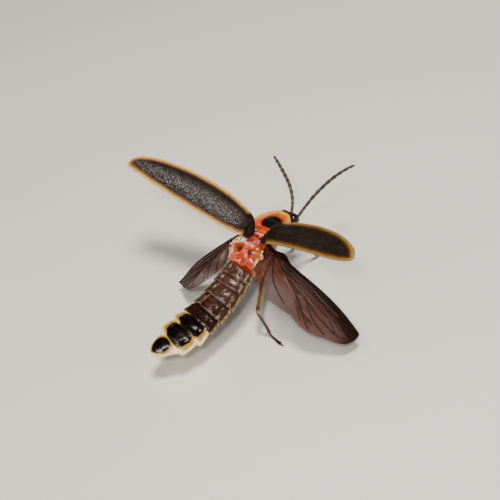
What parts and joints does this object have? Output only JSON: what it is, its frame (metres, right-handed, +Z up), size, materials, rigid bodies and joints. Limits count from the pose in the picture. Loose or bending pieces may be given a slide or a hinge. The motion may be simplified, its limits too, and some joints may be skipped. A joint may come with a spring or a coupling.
{
  "type": "firefly beetle",
  "caption": "Life-size still firefly beetle standing on its feet, wing covers raised and spread, flying wings swung down, long abdomen with pale light organ.",
  "frame": {"origin": "on the floor, under the middle of the model's box", "axes": "+X to the beetle's left, -Y the way its head faces, +Z up"},
  "size_m": [0.0214, 0.0204, 0.0108],
  "materials": {
    "dark_cuticle": "glossy dark brown cuticle",
    "eye": "polished black",
    "antenna": "dark brown with pale joints",
    "shield": "amber rim, coral flanks, black spot",
    "thorax": "wet-looking orange-red plates",
    "light_organ": "waxy cream",
    "wing_cover": "fine-haired dark brown with a tan margin",
    "wing_membrane": "smoky veined membrane",
    "leg": "olive brown, darker towards the foot"
  },
  "bodies": {
    "root": {"head": "dark_cuticle", "eye_left": "eye", "eye_right": "eye", "antenna_left": "antenna", "antenna_right": "antenna", "pronotum": "shield", "mesothorax": "thorax", "metathorax": "thorax", "abdomen_base": "dark_cuticle", "abdomen_lantern": "light_organ", "abdomen_tip": "dark_cuticle", "elytron_left": "wing_cover", "elytron_right": "wing_cover", "hindwing_left": "wing_membrane", "hindwing_right": "wing_membrane", "leg_front_left": "leg", "leg_front_right": "leg", "leg_mid_left": "leg", "leg_mid_right": "leg", "leg_hind_left": "leg", "leg_hind_right": "leg"}
  },
  "joints": []
}
